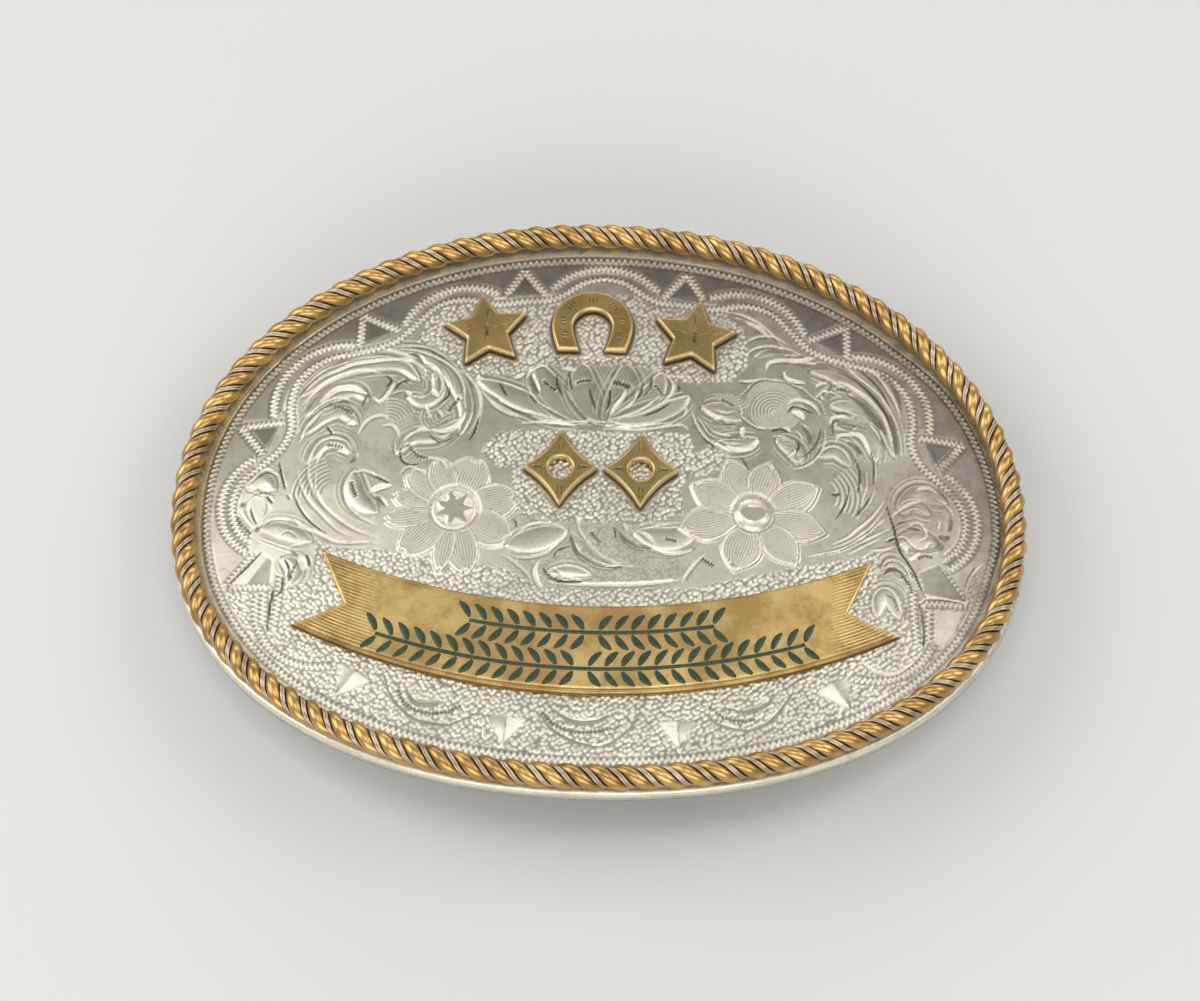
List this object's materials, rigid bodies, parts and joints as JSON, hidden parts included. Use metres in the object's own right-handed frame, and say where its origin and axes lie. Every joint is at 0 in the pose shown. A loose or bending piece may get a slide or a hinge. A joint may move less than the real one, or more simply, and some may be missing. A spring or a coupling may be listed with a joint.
{
  "type": "western trophy buckle",
  "caption": "Oval bent belt buckle plate with engraved scrollwork, a twisted rope edge, a raised banner and raised figures; a loop and a post on the back take a belt strap.",
  "frame": {"origin": "on the surface that the buckle lies on face up, under the middle of the plate", "axes": "+X along the long axis, to the right as the front is seen; +Y up on the belt; +Z out of the front"},
  "size_m": [0.095, 0.0696, 0.015],
  "materials": {
    "plate_silver": "polished nickel silver, bright-cut engraving, lightly tarnished",
    "rope_bronze": "polished twisted bronze wire, dark in the grooves",
    "ribbon_bronze": "satin bronze with green enamel inlay",
    "figure_bronze": "satin bronze, bright bevelled edges",
    "back_brass": "plain drawn brass wire, unpolished",
    "enamel_green": "green enamel inlay, slightly glossy"
  },
  "bodies": {
    "root": {"plate": "plate_silver", "rope_edge": "rope_bronze", "ribbon": "ribbon_bronze", "star_left": "figure_bronze", "horseshoe": "figure_bronze", "star_right": "figure_bronze", "lozenge_left": "figure_bronze", "lozenge_right": "figure_bronze", "belt_loop": "back_brass", "belt_hook": "back_brass"}
  },
  "joints": []
}
